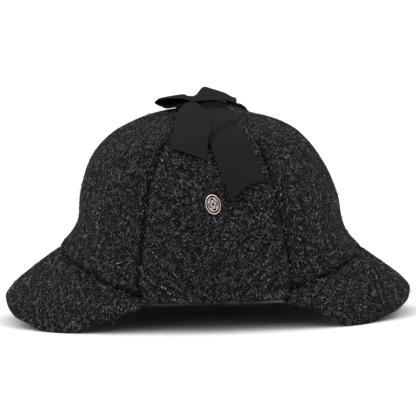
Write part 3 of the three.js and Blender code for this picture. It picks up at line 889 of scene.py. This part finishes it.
def unrolled(skin):
    """Each point's place on the flat cloth: the seam laid out from its middle and each slope from
    the seam, at their true lengths."""

    def laid(steps):
        return unit(steps[..., :2]) * np.linalg.norm(steps, axis=-1, keepdims=True)

    seam = np.pad(np.cumsum(laid(np.diff(skin[0], axis=0)), axis=0), ((1, 0), (0, 0)))
    slope = np.pad(np.cumsum(laid(np.diff(skin, axis=0)), axis=0), ((1, 0), (0, 0), (0, 0)))
    return (seam - seam[len(seam) // 2] + slope)[..., ::-1]


def tucked_in(skin, peak, depth):
    """A peak's skin with its seam allowance, turned up inside the crown and behind the flaps."""
    middle, corner, turn, _ = peak
    wide = skin.shape[1]
    angle = middle + turn * np.linspace(-1, 1, wide) * corner
    edge = np.full(wide, float(LAST_ROW))
    behind = np.full(wide, -CROWN_WALL - ALLOWANCE_GAP - depth)
    upper = off_crown(angle, edge, behind, -ALLOWANCE)
    lower = off_crown(angle, edge, behind + 0.2, 0.6 + depth)
    skin = np.vstack([upper[None], lower[None], skin])
    for end, beside in ((0, 1), (-1, -2)):
        beyond = unit((skin[:, end] - skin[:, beside]) * (1, 1, 0))
        inward = unit(-skin[:, end] * (0, 1, 0))
        tucks = [skin[:, end] + beyond * far + inward * deep + (0, 0, up) for far, deep, up in TUCKS]
        whole = [*tucks[::-1], skin] if end == 0 else [skin, *tucks]
        skin = np.hstack([part if part.ndim == 3 else part[:, None] for part in whole])
    return skin


def peak_piece(name):
    """A stiffened peak, seamed to the crown's edge and turned down at its sides."""
    peak = PEAKS[name]
    rows, columns = PEAK_GRID
    out, across = np.broadcast_arrays(np.linspace(0, 1, rows)[:, None], np.linspace(-1, 1, columns)[None, :])
    step = 0.01
    near, beside = np.minimum(out, 1 - step), np.clip(across, step - 1, 1 - step)
    outward = peak_top(peak, across, near + step) - peak_top(peak, across, near)
    sideways = peak_top(peak, beside + step, out) - peak_top(peak, beside - step, out)
    upward = unit(np.cross(outward, sideways)) * peak[2]
    top = peak_top(peak, across, out)
    run = run_lengths(top, 0)
    rim = run[-1:, :] - run
    relief = ridges(run, PEAK_SEAM_RELIEF) + ridges(rim, PEAK_RIM_RELIEF)
    relief += 0.5 * waver(top, 30, 11) * np.clip(run / 8, 0, 1)
    wall = PEAK_WALL * (1 - 0.25 * bump(rim, 3.0))
    outer, inner = top + upward * relief[..., None], top - upward * wall[..., None]
    # Close to the surface it stands on, the rim is pressed flat.
    for skin in (outer, inner):
        skin[..., 2] = RIM_PRESS * np.logaddexp(0, skin[..., 2] / RIM_PRESS)
    outer, inner = (tucked_in(skin, peak, depth) for skin, depth in ((outer, 0.0), (inner, ALLOWANCE_WALL)))
    added = ((2, 0), (len(TUCKS), len(TUCKS)))
    # Shade is painted along the seam to the crown, and full shade on the allowance and the tucks.
    pressed = np.pad(0.95 * bump(run, 2.4), added, constant_values=1.0)
    uv = np.pad(unrolled(top), (*added, (0, 0)), mode="reflect", reflect_type="odd")
    return cloth_shell(f"{name}_tweed", outer, inner, uv, pressed, rounding=0.55)


# ------------------------------------------------------------------ ear flaps


def ear_flap(side, name):
    """An ear flap: folded round the crown's edge, up its side and in over the top."""
    columns = FLAP_COLUMNS
    across = np.linspace(0, 1, columns)[None, :]

    def edges(pair):
        pair = np.asarray(pair, float)
        return pair[..., 0:1] + across * (pair[..., 1:2] - pair[..., 0:1])

    top_row, *top_pair = FLAP_ROWS[-1]
    body_rows = np.linspace(LAST_ROW, top_row, FLAP_BODY_ROWS)
    body_x = edges(table_at(FLAP_ROWS, body_rows))
    body_row = np.broadcast_to(body_rows[:, None], body_x.shape)
    body_angle = angle_at_x(body_row, body_x)
    share = np.linspace(0, 1, FLAP_TIP_ROWS)[1:]
    tips = table_at(TIP_ROWS, share)
    tip_x = edges(tips)
    start_y = crown_point(angle_at_x(float(top_row), edges([top_pair])[0]), float(top_row))[:, 1]
    end_y = -TIP_FROM_MIDDLE - TIP_ROUNDING * (tip_x - TIP_MIDDLE_X) ** 2
    tip_angle, tip_row = place_above(tip_x, start_y + (end_y - start_y) * share[:, None])
    hem = np.full(columns, float(LAST_ROW))
    hem_angle = angle_at_x(hem, edges([FLAP_ROWS[0][1:]])[0])
    hem_point, hem_normal = crown_point(hem_angle, hem), crown_normal(hem_angle, hem)

    def skin(offset, fold):
        """One face of the flap: the fold under the hem, then the body, then the tip."""
        turn = []
        for out, down in fold:
            under = hem_point + unit(hem_normal * (1, 1, 0)) * out
            under[:, 2] = hem_point[:, 2] - (down + hem_point[:, 2] - CROWN_ROWS[LAST_ROW][3])
            turn.append(under)
        body = off_crown(body_angle, body_row, np.full(body_x.shape, offset))
        tip = off_crown(tip_angle, tip_row, offset + tips[:, 2:3])
        turn = np.stack([*turn, body[0]]).reshape(len(fold) + 1, -1)
        turn = read_rows(turn, np.linspace(0, len(fold), FLAP_TURN_ROWS + 1))
        return np.vstack([turn.reshape(-1, columns, 3)[:-1], body, tip])

    outer, inner = skin(FLAP_GAP + FLAP_WALL, FOLD_OUTER), skin(FLAP_GAP, FOLD_INNER)
    run, fall = run_lengths(outer, 1), run_lengths(outer, 0)
    edge = np.minimum(np.minimum(run, run[:, -1:] - run), fall[-1:, :] - fall)
    relief = ridges(edge, FLAP_EDGE_RELIEF)
    relief += 0.7 * waver(outer * (1, side, 1), 34, 23) * np.clip(edge / 10, 0, 1) * np.clip(fall / 14, 0, 1)
    turn_normals = np.repeat(hem_normal[None], FLAP_TURN_ROWS, 0)
    normals = np.vstack([turn_normals, crown_normal(body_angle, body_row), crown_normal(tip_angle, tip_row)])
    outer = outer + normals * relief[..., None]

    run, fall = run_lengths(outer, 1), run_lengths(outer, 0)
    u = run - run[:, -1:] * FLAP_WEAVE_MIDDLE
    v = np.broadcast_to(fall[:, columns // 2][:, None], u.shape)
    # Shade is painted along the front edge, less along the back edge, and along the fold at the bottom.
    pressed = np.clip(bump(run, 2.0) + 0.6 * bump(run[:, -1:] - run, 1.6), 0, 1)
    pressed = np.maximum(pressed, bump(fall, 1.6))
    mirror = (1, -side, 1)
    return cloth_shell(name, outer * mirror, inner * mirror, np.stack([u, v], axis=-1), pressed, rounding=0.5)


# ------------------------------------------------------------------ bow


def ribbon(name, table, steps, arch=0.0, notch=0.0, crease=None, mirror=False, painted_shade_length=0.0):
    """A strip of ribbon between two selvedges. It may arch up between them, notch cuts a
    swallowtail into its far end, and shade is painted over its first millimetres, as many as the last
    argument gives, where it runs in under the knot."""
    table = np.array(table, float)
    last, step = len(table) - 1, 0.01
    across = np.linspace(0, 1, RIBBON_COLUMNS)[None, :]
    along, across = np.broadcast_arrays(np.linspace(0, 1, steps)[:, None], across)

    def place(a, c):
        both = read_rows(table, a * last)
        return both[..., :3] + (both[..., 3:] - both[..., :3]) * c[..., None]

    point = place(along, across)
    a = np.minimum(along, 1 - step)
    back = unit(place(a - step, across) - point)
    cut = notch * (1 - np.abs(2 * across - 1)) * along**6
    run = place(a + step, across) - place(a, across)
    width = place(along, np.ones(across.shape)) - place(along, np.zeros(across.shape))
    normal = unit(np.cross(run, width))
    rise = arch * np.minimum(1, 4 * along) * (1 - (2 * across - 1) ** 2)
    if crease:
        rise = rise + crease(along, across)
    middle = point + back * cut[..., None] + normal * rise[..., None]
    half = normal * sizes().ribbon_wall / MM / 2
    outer, inner = ((middle + wall) * (1, -1 if mirror else 1, 1) for wall in (half, -half))
    u, v = run_lengths(middle, 1), run_lengths(middle, 0)
    v = np.broadcast_to(v[:, RIBBON_COLUMNS // 2][:, None], v.shape) - cut
    # Shade is painted over the first millimetres, where the ribbon runs in under the knot.
    pressed = 1 / (1 + np.exp((v - painted_shade_length) / PAINTED_SHADE_EDGE)) if painted_shade_length else 0.0
    return cloth_shell(name, outer, inner, np.stack([u, v], axis=-1), pressed, rim_steps=3)


def tail_crease(along, across):
    """The back tail is bent where it leaves the top: a lip, then a sharp dip that runs out."""
    past = (along - CREASE_AT + CREASE_SLANT * across) * TAIL_LENGTH
    lip = np.where(past < 0, bump(past, 6), bump(past, 1.3))
    return 1.5 * lip - 1.3 * bump(past - 3.5, 2.6)


# ------------------------------------------------------------------ badge


def badge_piece():
    """An oval plate: raised rim, dark groove, shallow domed field with a four-petalled rosette."""
    rings, spokes = BADGE_GRID
    turn = np.linspace(0, 2 * math.pi, spokes, endpoint=False)[None, :]
    share, turn = np.broadcast_arrays(np.linspace(0, 1, rings)[:, None], turn)
    petal = ROSETTE_HEART + ROSETTE_REACH * np.abs(np.cos(2 * turn)) ** 0.8
    engraved = np.clip(bump(share - petal, 0.075) + bump(share, 0.12), 0, 1)
    height = np.interp(share, *np.array(BADGE_PROFILE).T) - ENGRAVED_DEPTH * engraved
    low = np.clip(1.5 * (engraved + bump(share - BADGE_GROOVE, 0.07)) + (share > 0.985), 0, 1)
    x, y = share * np.cos(turn) * BADGE_WIDE / 2, share * np.sin(turn) * BADGE_LONG / 2
    top = np.stack([x, y, height], axis=-1)
    base = top[-1] * (0.96, 0.96, 0)
    points = np.vstack([top[1:].reshape(-1, 3), base, [[0, 0, height[0, 0]]], [[0, 0, 0]]])
    lows = np.concatenate([low[1:].ravel(), np.ones(spokes), [low[0, 0]], [1]])
    r, c = np.mgrid[0 : rings - 1, 0:spokes]
    a, b = (r * spokes + c).ravel(), (r * spokes + (c + 1) % spokes).ravel()
    faces = np.stack([a, a + spokes, b + spokes, b], axis=1).tolist()
    hub, under, ring = rings * spokes, rings * spokes + 1, (rings - 1) * spokes
    faces += [(hub, i, (i + 1) % spokes) for i in range(spokes)]
    faces += [(under, ring + (i + 1) % spokes, ring + i) for i in range(spokes)]

    angle = angle_at_x(BADGE_ROW, BADGE_X)
    normal = crown_normal(angle, BADGE_ROW)
    up = np.array([-math.tan(BADGE_LEAN), 0, 1])
    up = unit(up - normal * np.dot(up, normal))
    right = np.cross(up, normal)
    centre = off_crown(angle, BADGE_ROW, np.array(BADGE_SEAT))
    points = lean(points @ np.stack([right, up, normal]) + centre)
    return add_object("badge_plate", smooth_mesh("badge_plate", points, faces, low=("POINT", lows)))


# ------------------------------------------------------------------ loose fibres


@cache
def fibre_tree():
    """Loose fibres spread over the outer skin of a piece of cloth."""
    tree = bpy.data.node_groups.new("loose_fibres", "GeometryNodeTree")
    add = partial(node, tree)
    sockets = (
        ("Per square metre", "Float", 50000.0),
        ("Fibre length", "Float", 0.0036),
        ("Fibre thickness", "Float", 0.0001),
        ("Curl", "Float", 0.0028),
        ("Curls in a metre", "Float", 420.0),
        ("Seed", "Int", 1),
    )
    tree.interface.new_socket("Geometry", in_out="OUTPUT", socket_type="NodeSocketGeometry")
    tree.interface.new_socket("Geometry", in_out="INPUT", socket_type="NodeSocketGeometry")
    for name, kind, value in sockets:
        socket = tree.interface.new_socket(name, in_out="INPUT", socket_type=f"NodeSocket{kind}")
        socket.default_value = value
    tree.interface.new_socket("Material", in_out="INPUT", socket_type="NodeSocketMaterial")
    given = add("NodeGroupInput").outputs
    seed = given["Seed"]

    outside = add("GeometryNodeInputNamedAttribute", {"Name": "outside"}, data_type="FLOAT")
    chosen = add("FunctionNodeCompare", {0: outside, 1: 0.5}, operation="GREATER_THAN")
    density = given["Per square metre"]
    where = {"Mesh": given["Geometry"], "Selection": chosen, "Density": density, "Seed": seed}
    spread = add("GeometryNodeDistributePointsOnFaces", where).outputs

    # A strand bows up from the cloth and comes down again near its end.
    bowed, ended = (
        add(VECTOR_MATH, {0: (x, 0, z), "Scale": given["Fibre length"]}, operation="SCALE")
        for x, z in ((0.35, 0.34), (1.0, 0.12))
    )
    bend = {"Resolution": 5, "Start": (0, 0, -0.0002), "Middle": bowed, "End": ended}
    line = add("GeometryNodeCurveQuadraticBezier", bend)
    section = add("GeometryNodeCurvePrimitiveCircle", {"Resolution": 3, "Radius": given["Fibre thickness"]})
    strand = add("GeometryNodeCurveToMesh", {"Curve": line, "Profile Curve": section, "Fill Caps": True})
    tilt = 0.3
    turns = {0: (-tilt, -tilt, 0.0), 1: (tilt, tilt, 6.283), "Seed": seed}
    turn = add(RANDOM, turns, data_type="FLOAT_VECTOR")
    facing = {"Rotation": spread["Rotation"], "Rotate By": turn}
    facing = add("FunctionNodeRotateRotation", facing, rotation_space="LOCAL")
    scale = add(RANDOM, {2: 0.35, 3: 1.35, "Seed": seed}, data_type="FLOAT").outputs[1]
    placed = {"Points": spread["Points"], "Instance": strand, "Rotation": facing, "Scale": scale}
    real = add("GeometryNodeRealizeInstances", {"Geometry": add("GeometryNodeInstanceOnPoints", placed)})

    curl = add(NOISE, {"Scale": given["Curls in a metre"], "Detail": 0.0}).outputs["Color"]
    sway = add(VECTOR_MATH, {0: curl, 1: (0.5, 0.5, 0.5)}, operation="SUBTRACT")
    offset = add(VECTOR_MATH, {0: sway, "Scale": given["Curl"]}, operation="SCALE")
    curled = add("GeometryNodeSetPosition", {"Geometry": real, "Offset": offset})
    # A fibre that would dip below the surface that the hat stands on lies along it.
    place = add(SPLIT, {0: add("GeometryNodeInputPosition")}).outputs
    above = add(MATH, {0: place["Z"], 1: given["Fibre thickness"]}, operation="MAXIMUM")
    kept = add(JOIN, {"X": place["X"], "Y": place["Y"], "Z": above})
    laid = add("GeometryNodeSetPosition", {"Geometry": curled, "Position": kept})
    finished = add("GeometryNodeSetMaterial", {"Geometry": laid, "Material": given["Material"]})
    add("NodeGroupOutput", {0: finished})
    return tree


def fibres_on(piece, seed):
    """Runs the fibre tree on a piece of tweed and keeps the result as a mesh of its own."""
    size, name = sizes(), piece.name.replace("_tweed", "_fibres")
    host = add_object(name + "_host", piece.data)
    grower = host.modifiers.new("fibres", "NODES")
    grower.node_group = fibre_tree()
    values = {
        "Per square metre": size.fibre_count * 1e4,
        "Fibre length": size.fibre,
        "Fibre thickness": size.fibre_thick / 2,
        "Seed": seed,
        "Material": loose_wool(),
    }
    for socket in grower.node_group.interface.items_tree:
        if socket.in_out == "INPUT" and socket.name in values:
            grower[socket.identifier] = values[socket.name]
    seen = host.evaluated_get(bpy.context.evaluated_depsgraph_get())
    mesh = bpy.data.meshes.new_from_object(seen)
    bpy.data.objects.remove(host)
    mesh.name = name
    obj = add_object(name, mesh)
    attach(obj, "root")


# ------------------------------------------------------------------ operators


class HAT_OT_crown(bpy.types.Operator):
    """Sews the crown from its six panels"""

    bl_idname = "hat.crown"
    bl_label = "Crown panels"

    def execute(self, context):
        finish = {"inner": True, "held": "stretched"}
        for number, place in enumerate(PANELS):
            obj = crown_panel(number, f"crown_{place}_tweed")
            finish_piece(obj, "tweed", tweed(), black_lining(), replaces=[f"crown_panel_{place}"], **finish)
        return {"FINISHED"}


class HAT_OT_peaks(bpy.types.Operator):
    """Makes the peak in front and the peak behind"""

    bl_idname = "hat.peaks"
    bl_label = "Peaks"

    def execute(self, context):
        for name in PEAKS:
            finish_piece(peak_piece(name), "tweed", tweed(), replaces=[name], held="stretched")
        return {"FINISHED"}


class HAT_OT_flaps(bpy.types.Operator):
    """Folds the two ear flaps up over the crown"""

    bl_idname = "hat.flaps"
    bl_label = "Ear flaps"

    def execute(self, context):
        for side, word in ((-1, "left"), (1, "right")):
            obj = ear_flap(side, f"flap_{word}_tweed")
            under = [f"crown_{place}_tweed" for place in PANELS if word in place]
            finish_piece(obj, "tweed", tweed(), replaces=[f"ear_flap_{word}"], held="folded", rests_on=under)
        return {"FINISHED"}


class HAT_OT_bow(bpy.types.Operator):
    """Ties the ribbon bow on top of the hat"""

    bl_idname = "hat.bow"
    bl_label = "Ribbon bow"

    def execute(self, context):
        short = {"arch": 0.6, "painted_shade_length": 4}
        long = {"arch": 1.2, "notch": 4.6, "crease": tail_crease, "painted_shade_length": 17}
        plan = (
            ("knot", "bow_knot", KNOT_WRAP, 60, {"arch": 2.2}, "gathered", "lead_left_ribbon"),
            ("lead_left", "ribbon_lead_left", LEAD, 12, {}, "draped", "flap_left_tweed"),
            ("lead_right", "ribbon_lead_right", LEAD, 12, {"mirror": True}, "draped", "flap_right_tweed"),
            ("loop_front", "bow_loop_front", LOOP_FRONT, 90, {}, "gathered", "knot_ribbon"),
            ("loop_back", "bow_loop_back", LOOP_BACK, 80, {}, "gathered", "knot_ribbon"),
            ("tail_front", "bow_tail_front", TAIL_FRONT, 70, short, "draped", "flap_left_tweed"),
            ("tail_back", "bow_tail_back", TAIL_BACK, 80, long, "draped", "flap_left_tweed"),
        )
        for name, stands_for, table, steps, shape, held, under in plan:
            obj = ribbon(f"{name}_ribbon", table, steps, **shape)
            finish_piece(obj, "ribbon", grosgrain(), replaces=[stands_for], held=held, rests_on=[under])
        return {"FINISHED"}


class HAT_OT_badge(bpy.types.Operator):
    """Casts the small oval badge on the left ear flap"""

    bl_idname = "hat.badge"
    bl_label = "Badge"

    def execute(self, context):
        finish_piece(badge_piece(), "badge", antique_silver(), replaces=["badge"])
        return {"FINISHED"}


class HAT_OT_fibres(bpy.types.Operator):
    """Spreads loose wool fibres over the tweed"""

    bl_idname = "hat.fibres"
    bl_label = "Loose fibres"

    def execute(self, context):
        tweeds = sorted(obj.name for obj in bpy.data.objects if obj.name.endswith("_tweed"))
        for seed, name in enumerate(tweeds, 3):
            fibres_on(bpy.data.objects[name], seed)
        return {"FINISHED"}


class HAT_OT_stage(bpy.types.Operator):
    """Sets the floor, the soft lights and the camera"""

    bl_idname = "hat.stage"
    bl_label = "Stage"

    def execute(self, context):
        scene = context.scene
        scene.view_settings.view_transform = "Standard"
        half = FLOOR_WIDTH / 2
        mesh = bpy.data.meshes.new("floor")
        corners = [(-half, -half, 0), (half, -half, 0), (half, half, 0), (-half, half, 0)]
        mesh.from_pydata(corners, [], [(0, 1, 2, 3)])
        mesh.materials.append(studio_floor())
        floor = add_object("floor", mesh)

        world = bpy.data.worlds.new("studio")
        world.use_nodes = True
        backdrop = world.node_tree.nodes["Background"].inputs
        backdrop["Color"].default_value = (1, 1, 1, 1)
        backdrop["Strength"].default_value = ROOM_LIGHT
        scene.world = world
        for name, power, spread, way in LIGHTS:
            lamp = bpy.data.lights.new(name, "SUN")
            lamp.energy = power
            lamp.angle = math.radians(spread)
            holder = add_object(name, lamp)
            holder.rotation_mode = "QUATERNION"
            holder.rotation_quaternion = Vector(way).to_track_quat("Z", "Y")

        toward = Vector((0, -math.cos(CAMERA_LIFT), math.sin(CAMERA_LIFT)))
        camera = bpy.data.cameras.new("camera")
        camera.sensor_width = 36
        camera.lens = camera.sensor_width * CAMERA_AWAY / VIEW_WIDTH
        holder = add_object("camera", camera)
        holder.rotation_mode = "QUATERNION"
        holder.location = Vector(CAMERA_AIM) + toward * CAMERA_AWAY
        tipped = Matrix.Rotation(-CAMERA_TIP, 3, "Z").to_quaternion()
        holder.rotation_quaternion = toward.to_track_quat("Z", "Y") @ tipped
        scene.camera = holder
        return {"FINISHED"}


class HAT_PT_panel(bpy.types.Panel):
    """Lists the steps that build the hat"""

    bl_idname = "HAT_PT_panel"
    bl_label = "Deerstalker hat"
    bl_space_type = "VIEW_3D"
    bl_region_type = "UI"
    bl_category = "Hat"

    def draw(self, context):
        for group in (context.scene.hat_sizes, context.scene.hat_colours):
            for name in group.bl_rna.properties.keys():
                if name not in ("rna_type", "name"):
                    self.layout.prop(group, name)
        for step in STEPS:
            self.layout.operator(step.bl_idname)


STEPS = (HAT_OT_crown, HAT_OT_peaks, HAT_OT_flaps, HAT_OT_bow, HAT_OT_badge, HAT_OT_fibres, HAT_OT_stage)
CLASSES = (HatSizes, HatColours, *STEPS, HAT_PT_panel)


def register():
    for cls in CLASSES:
        bpy.utils.register_class(cls)
    bpy.types.Scene.hat_sizes = bpy.props.PointerProperty(type=HatSizes)
    bpy.types.Scene.hat_colours = bpy.props.PointerProperty(type=HatColours)


def unregister():
    del bpy.types.Scene.hat_colours
    del bpy.types.Scene.hat_sizes
    for cls in reversed(CLASSES):
        bpy.utils.unregister_class(cls)


def main():
    register()
    bpy.ops.hat.crown()
    bpy.ops.hat.peaks()
    bpy.ops.hat.flaps()
    bpy.ops.hat.bow()
    bpy.ops.hat.badge()
    bpy.ops.hat.fibres()
    bpy.ops.hat.stage()


if __name__ == "__main__":
    main()
